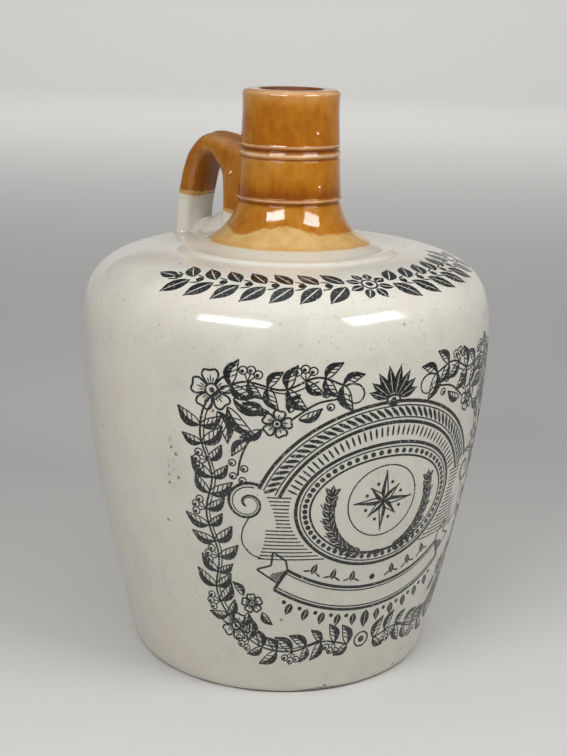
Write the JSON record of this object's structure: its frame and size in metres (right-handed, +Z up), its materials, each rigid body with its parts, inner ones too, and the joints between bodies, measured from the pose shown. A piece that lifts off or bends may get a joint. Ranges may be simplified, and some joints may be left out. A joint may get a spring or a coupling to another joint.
{
  "type": "stoneware crock jug",
  "caption": "Squat shouldered stoneware jug with a ridged bottle neck and a small strap handle for one finger, cream below and amber brown above.",
  "frame": {"origin": "centre of the flat foot, on the jug's axis, so that the jug stands on z = 0", "axes": "+Z up along the jug's axis and out of the mouth; +Y from the axis towards the handle"},
  "size_m": [0.144, 0.144, 0.2],
  "materials": {
    "cream_glaze": "gloss",
    "amber_glaze": "gloss"
  },
  "bodies": {
    "root": {"lower_pot": "cream_glaze", "belly_slip": "cream_glaze", "shoulder": "cream_glaze", "collar_slip": "cream_glaze", "neck": "amber_glaze", "handle": "amber_glaze", "handle_pad": "cream_glaze"}
  },
  "joints": []
}
